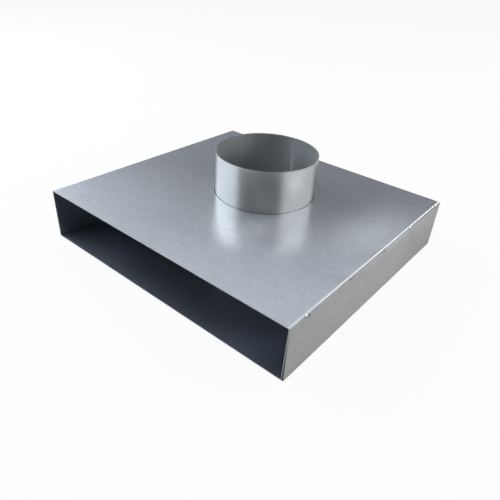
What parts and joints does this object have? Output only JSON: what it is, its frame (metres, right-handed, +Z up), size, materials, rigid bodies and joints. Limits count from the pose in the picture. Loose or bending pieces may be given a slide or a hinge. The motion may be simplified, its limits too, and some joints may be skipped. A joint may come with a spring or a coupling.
{
  "type": "grille box",
  "caption": "Flat galvanised sheet-metal box, open along one long side for a grille, with a round duct spigot on top and a lapped, tack-welded corner seam.",
  "frame": {"origin": "middle of the underside of the box", "axes": "+X along the open front edge, towards the seam; +Y from the open front to the closed rear; +Z up, out of the spigot"},
  "size_m": [0.3504, 0.32, 0.114],
  "materials": {
    "galvanised_sheet": "hot-dip galvanised sheet, fine spangle, satin",
    "rolled_sheet": "hot-dip galvanised sheet, rolled, satin",
    "weld_bead": "as-laid weld bead, slightly oxidised"
  },
  "bodies": {
    "root": {"duct_section": "galvanised_sheet", "rear_cap": "galvanised_sheet", "spigot": "rolled_sheet", "seam_tacks": "weld_bead"}
  },
  "joints": []
}
